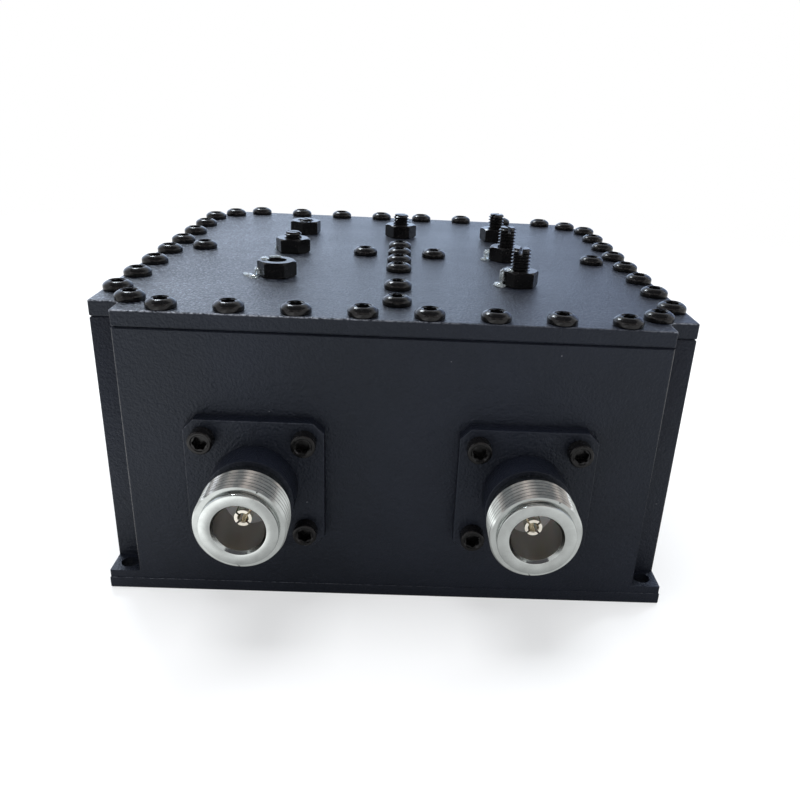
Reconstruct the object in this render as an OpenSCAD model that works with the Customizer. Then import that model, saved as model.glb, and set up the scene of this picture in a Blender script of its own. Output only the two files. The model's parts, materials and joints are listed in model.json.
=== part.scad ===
// Four-cavity radio-frequency filter with two N-type ports.
// X runs left to right, the ports face -Y, Z is up.
// The origin is the middle of the mounting-hole pattern, on the underside of the base.

/* [Base] */
// Width of the base, left to right
base_w = 110; // [100:1:130]
// Depth of the base, front to back
base_d = 110; // [100:1:130]
// Thickness of the base flange in the corner notches
base_t = 4; // [3:0.5:6]
// Height of the proud band round the foot of the base
band_h = 2.4; // [1:0.1:2.8]
// Distance that the band stands proud of the sides above it
band_step = 0.15; // [0.05:0.05:0.4]
// Side of the square notch at each upright corner
notch = 5.7; // [5:0.1:7]
// Cutter radius left in each notch
notch_r = 1.5; // [1:0.25:4]
// Radius of the mounting holes in the notches
base_hole_r = 1.7; // [1.2:0.05:2]
// Distance of the mounting holes from the sides above the band
base_hole_inset = 3; // [2.5:0.1:3.2]

/* [Cavities] */
// Height of the housing without its lid
body_h = 54; // [50:1:70]
// Thickness of the outer walls
wall = 8; // [7:0.5:10]
// Thickness of the walls between cavities
septum_t = 6; // [5:0.5:8]
// Thickness of the floor
floor_t = 6; // [5:0.5:8]
// Cutter radius in the cavity corners
cavity_r = 12; // [8:0.5:14]
// Height of the coupling windows' sills above the floor
sill_h = 10; // [5:1:20]
// Width of the coupling windows in the left and right walls
side_window_w = 27; // [20:0.5:28]
// Width of the coupling window in the back wall of the septum
back_window_w = 22; // [16:0.5:22]
// Width of the small cross-coupling window near the front
cross_window_w = 8; // [4:0.5:10]
// Depth of the cross-coupling window below the lid
cross_window_h = 20; // [10:1:30]

/* [Lid] */
// Thickness of the lid
lid_t = 3; // [2:0.25:5]
// Distance of the edge screws from the side faces
edge_inset = 2.9; // [2.9:0.1:3.5]
// Spacing of the edge screws
edge_pitch = 11.7; // [9:0.1:12]
// Edge screws on each side
edge_count = 8; // [2:2:8]
// Least distance along a side between the edge screws and the corner screws
edge_gap = 4; // [3.5:0.1:6]
// Distance of the corner screws from both side faces
corner_inset = 7.2; // [7:0.1:9]
// Distance of the outer window screws from the side faces
post_inset = 9.4; // [8:0.1:10]
// Distance of the inner window screws from the centre line
post_offset = 8; // [7.5:0.1:9]
// Distance of the first septum screw from the front face
stub_inset = 10.9; // [9:0.1:12]
// Spacing of the two front septum screws
stub_pitch = 12; // [8:0.1:13]
// Distance of the back septum screw from the back face
tail_inset = 13; // [9:0.1:14]
// Middle of the row of four septum screws
column_y = -3.7; // [-5:0.1:-2]
// Spacing of the row of four septum screws
column_pitch = 8.2; // [7:0.1:8.6]

/* [Lid screws] */
// Radius of the lid screws' shanks
screw_r = 1.5; // [1.2:0.05:1.6]
// Radius of the lid screws' pan heads
head_r = 2.75; // [2.5:0.05:2.9]
// Height of the pan heads
head_h = 1.7; // [1.5:0.05:2.2]
// Radius of the rounded shoulder of the heads
head_round = 0.9; // [0.4:0.05:1]
// Chamfer round the foot of the heads
head_foot = 0.2; // [0.1:0.05:0.3]
// Radius over the points of the six-lobe sockets
drive_r = 1.44; // [1.2:0.02:1.48]
// Depth of the sockets
drive_h = 1.1; // [0.8:0.05:1.2]
// Radius of a socket's waists as a share of the radius over its points
drive_waist = 0.78; // [0.7:0.01:0.86]
// Length of the lid screws under the head
screw_len = 9; // [7:0.5:12]

/* [Tuning screws] */
// Outer radius of the tuning screws' threads
tuning_r = 2; // [1.5:0.1:2.5]
// Length of the tuning screws
tuning_len = 20; // [16:0.5:24]
// Chamfer on the ends of the tuning screws
tuning_chamfer = 0.4; // [0.2:0.05:0.6]
// Width of the screwdriver slot
slot_w = 0.7; // [0.5:0.05:1]
// Depth of the screwdriver slot
slot_h = 1.1; // [0.6:0.05:1.5]
// Width of the lock nuts across their flats
nut_af = 7; // [6.5:0.1:8]
// Height of the lock nuts
nut_h = 3.2; // [2.5:0.1:4]
// Height of the chamfer on the lock nuts
nut_chamfer = 0.35; // [0.2:0.05:0.5]
// Height of the front left tuning screw above its nut
stand_front_left = -0.5; // [-2:0.1:8]
// Height of the front right tuning screw above its nut
stand_front_right = 4.5; // [-2:0.1:8]
// Height of the back left tuning screw above its nut
stand_back_left = 0.4; // [-2:0.1:8]
// Height of the back right tuning screw above its nut
stand_back_right = 3.6; // [-2:0.1:8]
// Height of the left coupling screw above its nut
stand_left = 1.4; // [-2:0.1:8]
// Height of the right coupling screw above its nut
stand_right = 4.5; // [-2:0.1:8]
// Height of the back coupling screw above its nut
stand_back = 2.5; // [-2:0.1:8]
// Turn of the front left lock nut in degrees, 0 with one flat square to the front
turn_front_left = 0; // [-30:1:30]
// Turn of the front right lock nut in degrees
turn_front_right = 8; // [-30:1:30]
// Turn of the back left lock nut in degrees
turn_back_left = 24; // [-30:1:30]
// Turn of the back right lock nut in degrees
turn_back_right = -14; // [-30:1:30]
// Turn of the left lock nut in degrees
turn_left = -6; // [-30:1:30]
// Turn of the right lock nut in degrees
turn_right = 12; // [-30:1:30]
// Turn of the back lock nut in degrees
turn_back = 3; // [-30:1:30]

/* [Resonators] */
// Radius of the resonator posts
post_r = 7; // [6:0.25:8]
// Height of the resonator posts above the floor
post_h = 35; // [30:0.5:36]
// Radius of the disc on top of each post
disc_r = 10; // [8:0.25:12]
// Thickness of the disc
disc_t = 2; // [1:0.25:3]
// Radius of the well that the tuning screw dips into
well_r = 4; // [3.5:0.1:5]
// Depth of the well
well_h = 11; // [8:0.5:11]
// Radius of the bolts that hold the posts
bolt_r = 2; // [1.5:0.1:2.5]
// Radius of the bolts' heads
bolt_head_r = 3.5; // [3:0.1:4]
// Height of the bolts' heads
bolt_head_h = 2.8; // [2:0.1:3]
// Length of bolt in the post
bolt_grip = 8; // [5:0.5:10]

/* [Ports] */
// Height of the port axes above the underside
port_z = 25.5; // [22:0.5:27]
// Side of the square port flanges
port_side = 25.4; // [25:0.1:26]
// Chamfer on the corners of the port flanges
port_chamfer = 2; // [1:0.1:2.5]
// Thickness of the port flanges
port_t = 2.5; // [2:0.1:3.5]
// Spacing of the flange screws
port_pitch = 18.3; // [18:0.1:19]
// Radius of the barrel in front of the flange
barrel_r = 7.9; // [7.5:0.05:8]
// Length of the barrel
barrel_len = 6.1; // [4:0.1:8]
// Radius of the neck behind the thread
neck_r = 7.1; // [6.8:0.05:7.5]
// Length of the neck
neck_len = 3; // [1:0.1:4]
// Outer radius of the coupling thread
thread_r = 7.94; // [7.8:0.01:8]
// Length of the coupling thread
thread_len = 6.2; // [5:0.1:9]
// Radius of the plain collar at the mouth
collar_r = 6.75; // [6.4:0.05:7]
// Length of the plain collar
collar_len = 1; // [0.5:0.1:2]
// Radius of the mouth at the front face
mouth_r = 4.7; // [4.5:0.05:5]
// Depth of the mouth's chamfer
mouth_h = 0.6; // [0.3:0.05:1]
// Radius of the socket bore
socket_r = 4.3; // [4:0.05:4.5]

/* [Contacts] */
// Radius of the insulators
insulator_r = 5; // [4.6:0.1:5.5]
// Length of the insulator in front of the panel
insulator_len = 9; // [6:0.5:10]
// Radius of the centre contacts
contact_r = 1.52; // [1.3:0.01:1.7]
// Distance of the contact's tip behind the mouth
contact_recess = 4.2; // [4.2:0.1:6]
// Radius of the hole in the contact's tip
contact_hole_r = 0.85; // [0.6:0.05:1]
// Depth of the hole in the contact's tip
contact_hole_h = 4; // [3:0.5:5]
// Width of the slots in the contact's tip
contact_slot_w = 0.35; // [0.2:0.05:0.5]
// Radius of the contact's tail
tail_r = 1; // [0.8:0.05:1.2]
// Length of the tail inside the cavity
tail_len = 3.5; // [2:0.5:5]
// Radius of the coupling taps
tap_r = 1.6; // [1.4:0.1:2.5]
// Length of the tap's spigot in the post
spigot_len = 2.5; // [1:0.5:2.5]

/* [Flange screws] */
// Radius of the flange screws' shanks
cap_r = 1.25; // [1:0.05:1.5]
// Radius of the flange screws' heads
cap_head_r = 2.25; // [2:0.05:2.7]
// Height of the flange screws' heads
cap_head_h = 2.5; // [2:0.1:3]
// Chamfer on the flange screws' heads
cap_chamfer = 0.3; // [0.1:0.05:0.5]
// Radius over the points of the flange screws' sockets
cap_drive_r = 1.46; // [1.2:0.02:1.48]
// Depth of the flange screws' sockets
cap_drive_h = 1.6; // [1:0.1:1.8]
// Length of the flange screws under the head
cap_len = 7; // [6:0.5:9]

/* [Fits] */
// Radial gap round a screw in its clearance hole
hole_gap = 0.2; // [0.1:0.05:0.3]
// Radial gap between mating threads
thread_gap = 0.05; // [0.02:0.01:0.1]
// Radial gap round pressed and pushed-in pieces
seat_gap = 0.05; // [0.02:0.01:0.1]
// Spare depth at the end of blind holes
blind_spare = 0.8; // [0.5:0.1:1]

/* [Hidden] */
$fn = 48;

paint = [0.05, 0.05, 0.07];
oxide = [0.12, 0.12, 0.14];
nickel = [0.82, 0.83, 0.84];
silver = [0.78, 0.77, 0.72];
ptfe = [0.93, 0.93, 0.9];

over = 1;
lobes = 6;
half_w = base_w / 2 - band_step;
half_d = base_d / 2 - band_step;
top_z = body_h + lid_t;
nut_top_z = top_z + nut_h;
nut_corner_r = nut_af / sqrt(3);

// Cavity centres, which the posts, tuning screws and ports share
cell_w = half_w - wall - septum_t / 2;
cell_d = half_d - wall - septum_t / 2;
cell_x = (septum_t + cell_w) / 2;
cell_y = (septum_t + cell_d) / 2;
sill_z = floor_t + sill_h;

// Screw places on the lid; an edge row closes up on a side too short for its spacing
function edge_row(half) =
  let (room = 2 * (half - corner_inset - edge_gap))
  let (step = min(edge_pitch, room / (edge_count - 1)))
  [for (i = [0 : edge_count - 1]) (i - (edge_count - 1) / 2) * step];
edge_places = [
  for (side = [-1, 1]) for (s = edge_row(half_w)) [s, side * (half_d - edge_inset)],
  for (side = [-1, 1]) for (s = edge_row(half_d)) [side * (half_w - edge_inset), s]
];
corner_places = [
  for (sx = [-1, 1]) for (sy = [-1, 1]) [sx * (half_w - corner_inset), sy * (half_d - corner_inset)]
];
septum_places = [
  for (i = [0, 1]) [0, -half_d + stub_inset + i * stub_pitch],
  for (i = [-1.5 : 1 : 1.5]) [0, column_y + i * column_pitch],
  [0, half_d - tail_inset]
];
window_places = [
  for (sx = [-1, 1]) for (x = [post_offset, half_w - post_inset]) [sx * x, 0]
];
lid_screw_places = concat(edge_places, corner_places, septum_places, window_places);

// Tuning and coupling screw places
tuning_places = [
  for (sx = [-1, 1]) for (y = [-cell_y, 0, cell_y]) [sx * cell_x, y],
  [0, cell_y]
];

// Port lengths, measured outwards from the front face
barrel_end = port_t + barrel_len;
thread_start = barrel_end + neck_len;
thread_end = thread_start + thread_len;
mouth_z = thread_end + collar_len;
contact_tip = mouth_z - contact_recess;
post_face = half_d - cell_y - post_r;

module mirror_to(sx, sy) {
  mirror([sx < 0 ? 1 : 0, 0, 0]) mirror([0, sy < 0 ? 1 : 0, 0]) children();
}

module four_corners() {
  for (sx = [-1, 1], sy = [-1, 1]) mirror_to(sx, sy) children();
}

module at_places(places, z) {
  for (p = places) translate([p[0], p[1], z]) children();
}

// Local +Z points out of the front face along a port's axis
module at_port(side) {
  translate([side * cell_x, -half_d, port_z]) rotate([90, 0, 0]) children();
}

module at_flange_screws(z) {
  for (sx = [-1, 1], sy = [-1, 1]) translate([sx * port_pitch / 2, sy * port_pitch / 2, z]) children();
}

module notch_cut(z, h) {
  translate([half_w - notch, half_d - notch, z]) linear_extrude(h) {
    translate([notch_r, 0]) square([notch - notch_r + over, notch + over]);
    translate([0, notch_r]) square([notch + over, notch - notch_r + over]);
    translate([notch_r, notch_r]) circle(notch_r);
  }
}

module notched_block(z, h) {
  difference() {
    translate([-half_w, -half_d, z]) cube([2 * half_w, 2 * half_d, h]);
    four_corners() notch_cut(z - over, h + 2 * over);
  }
}

module cavity_pocket() {
  translate([septum_t / 2, septum_t / 2, floor_t]) linear_extrude(body_h - floor_t + over) {
    translate([cavity_r, 0]) square([cell_w - 2 * cavity_r, cell_d]);
    translate([0, cavity_r]) square([cell_w, cell_d - 2 * cavity_r]);
    for (x = [cavity_r, cell_w - cavity_r], y = [cavity_r, cell_d - cavity_r])
      translate([x, y]) circle(cavity_r);
  }
}

module window_cut(x, y, w, d, sill) {
  translate([x - w / 2, y - d / 2, sill]) cube([w, d, body_h - sill + over]);
}

module coupling_windows() {
  window_d = septum_t + 2 * over;
  for (sx = [-1, 1]) window_cut(sx * cell_x, 0, side_window_w, window_d, sill_z);
  window_cut(0, cell_y, window_d, back_window_w, sill_z);
  window_cut(0, -cell_y, window_d, cross_window_w, body_h - cross_window_h);
}

module base_holes() {
  four_corners() translate([half_w - base_hole_inset, half_d - base_hole_inset, -over])
    cylinder(r = base_hole_r, h = base_t + 2 * over);
}

module lid_screw_holes() {
  depth = screw_len - lid_t + blind_spare;
  at_places(lid_screw_places, body_h - depth) cylinder(r = screw_r + thread_gap, h = depth + over);
}

module port_holes() {
  depth = cap_len - port_t + blind_spare;
  for (side = [-1, 1]) at_port(side) {
    translate([0, 0, -wall - over]) cylinder(r = insulator_r + seat_gap, h = wall + 2 * over);
    at_flange_screws(-depth) cylinder(r = cap_r + thread_gap, h = depth + over);
  }
}

module bolt_holes() {
  recess = bolt_head_h + hole_gap;
  four_corners() translate([cell_x, cell_y, -over]) {
    cylinder(r = bolt_head_r + hole_gap, h = recess + over);
    cylinder(r = bolt_r + hole_gap, h = floor_t + 2 * over);
  }
}

module housing() {
  color(paint) difference() {
    union() {
      translate([-base_w / 2, -base_d / 2, 0]) cube([base_w, base_d, band_h]);
      translate([-half_w, -half_d, 0]) cube([2 * half_w, 2 * half_d, base_t]);
      notched_block(0, body_h);
    }
    four_corners() cavity_pocket();
    coupling_windows();
    base_holes();
    lid_screw_holes();
    port_holes();
    bolt_holes();
  }
}

module lid() {
  color(paint) difference() {
    notched_block(body_h, lid_t);
    at_places(lid_screw_places, body_h - over) cylinder(r = screw_r + hole_gap, h = lid_t + 2 * over);
    at_places(tuning_places, body_h - over) cylinder(r = tuning_r + thread_gap, h = lid_t + 2 * over);
  }
}

// Six-pointed cut, open at z = 0 and going down
module drive_socket(r, depth) {
  translate([0, 0, -depth]) linear_extrude(depth + over) polygon([
    for (i = [0 : 2 * lobes - 1]) let (turn = 180 / lobes * i)
      (i % 2 == 0 ? r : r * drive_waist) * [cos(turn), sin(turn)]
  ]);
}

module pan_head() {
  shoulder = [head_r - head_round, head_h - head_round];
  rotate_extrude() {
    polygon([[0, 0], [head_r - head_foot, 0], [head_r, head_foot], [head_r, shoulder[1]], [0, shoulder[1]]]);
    square([shoulder[0], head_h]);
    translate(shoulder) intersection() {
      circle(head_round);
      square(head_round);
    }
  }
}

module lid_screw() {
  color(oxide) {
    difference() {
      pan_head();
      translate([0, 0, head_h]) drive_socket(drive_r, drive_h);
    }
    translate([0, 0, -screw_len]) cylinder(r = screw_r, h = screw_len);
  }
}

module edge_screws() { at_places(edge_places, top_z) lid_screw(); }
module corner_screws() { at_places(corner_places, top_z) lid_screw(); }
module septum_screws() { at_places(septum_places, top_z) lid_screw(); }
module window_screws() { at_places(window_places, top_z) lid_screw(); }

module resonator() {
  difference() {
    union() {
      cylinder(r = post_r, h = post_h);
      translate([0, 0, post_h - disc_t]) cylinder(r = disc_r, h = disc_t);
    }
    translate([0, 0, post_h - well_h]) cylinder(r = well_r, h = well_h + over);
    translate([0, 0, -over]) cylinder(r = bolt_r + thread_gap, h = bolt_grip + blind_spare + over);
  }
}

module tapped_resonator() {
  difference() {
    resonator();
    translate([0, -post_r + spigot_len + blind_spare, port_z - floor_t]) rotate([90, 0, 0])
      cylinder(r = tail_r + seat_gap, h = post_r);
  }
}

module resonator_front_left() { color(silver) translate([-cell_x, -cell_y, floor_t]) tapped_resonator(); }
module resonator_front_right() { color(silver) translate([cell_x, -cell_y, floor_t]) tapped_resonator(); }
module resonator_back_left() { color(silver) translate([-cell_x, cell_y, floor_t]) resonator(); }
module resonator_back_right() { color(silver) translate([cell_x, cell_y, floor_t]) resonator(); }

module resonator_bolts() {
  color(oxide) four_corners() translate([cell_x, cell_y, hole_gap]) {
    cylinder(r = bolt_head_r, h = bolt_head_h);
    cylinder(r = bolt_r, h = floor_t - hole_gap + bolt_grip);
  }
}

module tuning_screw(x, y, stand) {
  color(oxide) translate([x, y, nut_top_z + stand - tuning_len]) difference() {
    union() {
      translate([0, 0, tuning_chamfer]) cylinder(r = tuning_r, h = tuning_len - 2 * tuning_chamfer);
      cylinder(r1 = tuning_r - tuning_chamfer, r2 = tuning_r, h = tuning_chamfer);
      translate([0, 0, tuning_len - tuning_chamfer])
        cylinder(r1 = tuning_r, r2 = tuning_r - tuning_chamfer, h = tuning_chamfer);
    }
    translate([-tuning_r - over, -slot_w / 2, tuning_len - slot_h])
      cube([2 * (tuning_r + over), slot_w, slot_h + over]);
  }
}

module tuning_screw_front_left() { tuning_screw(-cell_x, -cell_y, stand_front_left); }
module tuning_screw_front_right() { tuning_screw(cell_x, -cell_y, stand_front_right); }
module tuning_screw_back_left() { tuning_screw(-cell_x, cell_y, stand_back_left); }
module tuning_screw_back_right() { tuning_screw(cell_x, cell_y, stand_back_right); }
module coupling_screw_left() { tuning_screw(-cell_x, 0, stand_left); }
module coupling_screw_right() { tuning_screw(cell_x, 0, stand_right); }
module coupling_screw_back() { tuning_screw(0, cell_y, stand_back); }

module lock_nut(x, y, turn) {
  color(oxide) translate([x, y, top_z]) rotate([0, 0, turn]) difference() {
    intersection() {
      cylinder(r = nut_corner_r, h = nut_h, $fn = 6);
      rotate_extrude() polygon([
        [0, 0], [nut_af / 2, 0], [nut_corner_r, nut_chamfer],
        [nut_corner_r, nut_h - nut_chamfer], [nut_af / 2, nut_h], [0, nut_h]
      ]);
    }
    translate([0, 0, -over]) cylinder(r = tuning_r + thread_gap, h = nut_h + 2 * over);
  }
}

module lock_nut_front_left() { lock_nut(-cell_x, -cell_y, turn_front_left); }
module lock_nut_front_right() { lock_nut(cell_x, -cell_y, turn_front_right); }
module lock_nut_back_left() { lock_nut(-cell_x, cell_y, turn_back_left); }
module lock_nut_back_right() { lock_nut(cell_x, cell_y, turn_back_right); }
module lock_nut_left() { lock_nut(-cell_x, 0, turn_left); }
module lock_nut_right() { lock_nut(cell_x, 0, turn_right); }
module lock_nut_back() { lock_nut(0, cell_y, turn_back); }

module port_flange() {
  half = port_side / 2;
  cut = half - port_chamfer;
  linear_extrude(port_t) polygon([
    [cut, -half], [half, -cut], [half, cut], [cut, half],
    [-cut, half], [-half, cut], [-half, -cut], [-cut, -half]
  ]);
}

module port_bore() {
  translate([0, 0, -over]) cylinder(r = insulator_r + seat_gap, h = insulator_len + over);
  cylinder(r = socket_r, h = mouth_z + over);
  translate([0, 0, mouth_z - mouth_h]) cylinder(r1 = socket_r, r2 = mouth_r, h = mouth_h);
  translate([0, 0, mouth_z]) cylinder(r = mouth_r, h = over);
}

module port_shell(side) {
  color(nickel) at_port(side) difference() {
    union() {
      port_flange();
      cylinder(r = barrel_r, h = barrel_end);
      cylinder(r = neck_r, h = thread_start);
      translate([0, 0, thread_start]) cylinder(r = thread_r, h = thread_len);
      cylinder(r = collar_r, h = mouth_z);
    }
    port_bore();
    at_flange_screws(-over) cylinder(r = cap_r + hole_gap, h = port_t + 2 * over);
  }
}

module port_shell_left() { port_shell(-1); }
module port_shell_right() { port_shell(1); }

module insulator(side) {
  color(ptfe) at_port(side) difference() {
    translate([0, 0, -wall]) cylinder(r = insulator_r, h = wall + insulator_len);
    translate([0, 0, -wall - over]) cylinder(r = tail_r + seat_gap, h = wall + insulator_len + 2 * over);
  }
}

module insulator_left() { insulator(-1); }
module insulator_right() { insulator(1); }

module contact(side) {
  tail_end = -wall - tail_len;
  slot_l = 2 * (contact_r + over);
  color(silver) at_port(side) difference() {
    union() {
      translate([0, 0, insulator_len]) cylinder(r = contact_r, h = contact_tip - insulator_len);
      translate([0, 0, tail_end]) cylinder(r = tail_r, h = insulator_len - tail_end);
    }
    translate([0, 0, contact_tip - contact_hole_h]) cylinder(r = contact_hole_r, h = contact_hole_h + over);
    for (turn = [45, 135]) rotate([0, 0, turn])
      translate([-slot_l / 2, -contact_slot_w / 2, contact_tip - contact_hole_h])
        cube([slot_l, contact_slot_w, contact_hole_h + over]);
  }
}

module contact_left() { contact(-1); }
module contact_right() { contact(1); }

module flange_screw() {
  difference() {
    union() {
      cylinder(r = cap_head_r, h = cap_head_h - cap_chamfer);
      translate([0, 0, cap_head_h - cap_chamfer])
        cylinder(r1 = cap_head_r, r2 = cap_head_r - cap_chamfer, h = cap_chamfer);
    }
    translate([0, 0, cap_head_h]) drive_socket(cap_drive_r, cap_drive_h);
  }
  translate([0, 0, -cap_len]) cylinder(r = cap_r, h = cap_len);
}

module flange_screws(side) { color(oxide) at_port(side) at_flange_screws(port_t) flange_screw(); }
module flange_screws_left() { flange_screws(-1); }
module flange_screws_right() { flange_screws(1); }

// The rod takes the contact's tail in front and plugs into the side of the post behind
module coupling_tap(side) {
  rod_end = post_face - seat_gap;
  color(silver) at_port(side) difference() {
    union() {
      translate([0, 0, -rod_end]) cylinder(r = tap_r, h = rod_end - wall);
      translate([0, 0, -post_face - spigot_len]) cylinder(r = tail_r, h = spigot_len + over);
    }
    translate([0, 0, -wall - tail_len - blind_spare])
      cylinder(r = tail_r + seat_gap, h = tail_len + blind_spare + over);
  }
}

module coupling_tap_left() { coupling_tap(-1); }
module coupling_tap_right() { coupling_tap(1); }

housing();
lid();
edge_screws();
corner_screws();
septum_screws();
window_screws();
resonator_front_left();
resonator_front_right();
resonator_back_left();
resonator_back_right();
resonator_bolts();
tuning_screw_front_left();
tuning_screw_front_right();
tuning_screw_back_left();
tuning_screw_back_right();
coupling_screw_left();
coupling_screw_right();
coupling_screw_back();
lock_nut_front_left();
lock_nut_front_right();
lock_nut_back_left();
lock_nut_back_right();
lock_nut_left();
lock_nut_right();
lock_nut_back();
port_shell_left();
port_shell_right();
insulator_left();
insulator_right();
contact_left();
contact_right();
flange_screws_left();
flange_screws_right();
coupling_tap_left();
coupling_tap_right();
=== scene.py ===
import json
import math

import bmesh
import bpy
from mathutils import Matrix, Vector, noise


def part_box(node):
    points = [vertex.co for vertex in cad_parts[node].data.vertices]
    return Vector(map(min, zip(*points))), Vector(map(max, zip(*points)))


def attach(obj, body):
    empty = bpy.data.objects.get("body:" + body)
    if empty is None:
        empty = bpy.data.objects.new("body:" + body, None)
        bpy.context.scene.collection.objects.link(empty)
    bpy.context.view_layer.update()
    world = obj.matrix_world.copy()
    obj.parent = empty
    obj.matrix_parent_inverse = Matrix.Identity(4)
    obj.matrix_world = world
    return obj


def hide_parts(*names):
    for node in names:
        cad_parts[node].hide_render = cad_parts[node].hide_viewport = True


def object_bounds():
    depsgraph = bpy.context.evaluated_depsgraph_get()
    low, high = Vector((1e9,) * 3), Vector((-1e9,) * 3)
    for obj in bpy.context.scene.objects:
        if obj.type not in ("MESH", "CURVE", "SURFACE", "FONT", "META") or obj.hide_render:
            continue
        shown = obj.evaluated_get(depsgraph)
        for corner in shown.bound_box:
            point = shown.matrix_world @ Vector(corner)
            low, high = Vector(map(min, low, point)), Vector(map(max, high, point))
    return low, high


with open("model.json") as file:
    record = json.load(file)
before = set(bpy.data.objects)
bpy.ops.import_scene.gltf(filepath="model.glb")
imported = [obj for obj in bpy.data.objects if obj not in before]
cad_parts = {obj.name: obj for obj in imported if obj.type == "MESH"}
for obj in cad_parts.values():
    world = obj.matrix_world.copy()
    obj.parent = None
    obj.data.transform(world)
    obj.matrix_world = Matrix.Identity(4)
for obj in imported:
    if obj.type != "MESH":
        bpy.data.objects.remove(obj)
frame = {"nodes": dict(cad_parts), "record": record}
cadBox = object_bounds()
mm = 0.001
root = "filter"
scene = bpy.context.scene
scene.view_settings.view_transform = "Standard"
print("frame loaded,", len(frame["nodes"]), "nodes")

# camera, fitted to the photo's outline and screw heads
cameraFit = dict(lens=35.31, sensor=36, clip=(0.01, 20), shift=(-0.02, 0.045),
                 place=(0.652, -185.849, 94.782), yaw=-1.6177, pitch=24.3695, roll=2.7237)
cameraData = bpy.data.cameras.new("photoCamera")
cameraData.lens, cameraData.sensor_width = cameraFit["lens"], cameraFit["sensor"]
cameraData.shift_x, cameraData.shift_y = cameraFit["shift"]
cameraData.clip_start, cameraData.clip_end = cameraFit["clip"]
camera = bpy.data.objects.new("photoCamera", cameraData)
scene.collection.objects.link(camera)
camera.matrix_world = (Matrix.Translation(Vector(cameraFit["place"]) * mm)
                       @ Matrix.Rotation(math.radians(cameraFit["yaw"]), 4, "Z")
                       @ Matrix.Rotation(math.radians(90 - cameraFit["pitch"]), 4, "X")
                       @ Matrix.Rotation(math.radians(cameraFit["roll"]), 4, "Z"))
scene.camera = camera


# node helpers, for materials and geometry alike
def link(tree, value, socket):
    if isinstance(value, bpy.types.NodeSocket):
        tree.links.new(value, socket)
    else:
        socket.default_value = value


def addNode(tree, kind, settings=None, **inputs):
    node = tree.nodes.new(kind)
    for key, value in (settings or {}).items():
        setattr(node, key, value)
    for key, value in inputs.items():
        link(tree, value, node.inputs[key.replace("_", " ")])
    return node


def calc(tree, operation, *values):
    node = addNode(tree, "ShaderNodeMath", {"operation": operation})
    for socket, value in zip(node.inputs, values):
        link(tree, value, socket)
    return node.outputs[0]


def ramp(tree, value, low, high, start, end):
    node = addNode(tree, "ShaderNodeMapRange", {"clamp": True}, Value=value)
    for key, number in (("From Min", low), ("From Max", high), ("To Min", start), ("To Max", end)):
        node.inputs[key].default_value = number
    return node.outputs[0]


def blendColour(tree, factor, first, second):
    node = addNode(tree, "ShaderNodeMix", {"data_type": "RGBA"})
    link(tree, factor, node.inputs[0])
    link(tree, first, node.inputs[6])
    link(tree, second, node.inputs[7])
    return node.outputs[2]


def newMaterial(name):
    material = bpy.data.materials.new(name)
    material.use_nodes = True
    tree = material.node_tree
    return material, tree, tree.nodes["Principled BSDF"]


def bareMaterial(name):
    material = bpy.data.materials.new(name)
    material.use_nodes = True
    material.node_tree.nodes.clear()
    return material, material.node_tree


def closeMaterial(tree, surface):
    tree.links.new(surface, tree.nodes.new("ShaderNodeOutputMaterial").inputs[0])


def objectNoise(tree, scale, detail=2.0, rough=0.5, stretch=None):
    place = addNode(tree, "ShaderNodeTexCoord").outputs["Object"]
    if stretch:
        place = addNode(tree, "ShaderNodeMapping", Vector=place, Scale=stretch).outputs[0]
    node = addNode(tree, "ShaderNodeTexNoise", Vector=place, Scale=scale, Detail=detail, Roughness=rough)
    return node.outputs[0]


def bump(tree, height, strength, distance):
    return addNode(tree, "ShaderNodeBump", Strength=strength, Distance=distance, Height=height).outputs[0]


def metres(pair):
    return [x * mm for x in pair]


# finishes: lengths in mm, noise scales in cells a metre
paintLook = dict(ior=1.36, dark=(0.0052, 0.0064, 0.0104, 1), light=(0.0088, 0.0104, 0.0166, 1),
                 cloud=45, cloudEdge=(0.35, 0.65), rough=(0.30, 0.42), tint=(0.80, 0.88, 1.0, 1),
                 grain=2000, grainBump=0.55, orange=420, orangeBump=0.15, bumpMuch=0.8, bumpDepth=0.5,
                 stripFrom=47.5, stripFade=1.5, stripPitch=900, stripStretch=(0.05, 0.05, 1), stripBump=0.25,
                 speckCell=250, speckSize=0.03, speckShare=0.5, speck=(0.12, 0.12, 0.13, 1),
                 # the dust's bluish tone and its thicker left also paint in part of the lid's sheen
                 dust=(0.22, 0.245, 0.29, 1), dustGrain=2200, dustEdge=(0.5, 0.72), dustMuch=0.75,
                 dustFrom=56.9, dustAndSheenLeft=(-42, -12), dustAndSheenFade=(1, 0.3),
                 # worn and the wornLit places paint the lid's edges lighter: partly wear, partly painted
                 # highlight
                 worn=(0.40, 0.41, 0.45, 1), wornPatch=1500, wornEdge=(0.38, 0.6),
                 wornLeft=(-25, 15), wornLitLeftMuch=(1, 0.12), wornRight=(42, 50), wornLitRightMuch=(0, 0.6),
                 # thin is a painted highlight on the upright corners
                 thin=(0.014, 0.0137, 0.016, 1))


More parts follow.
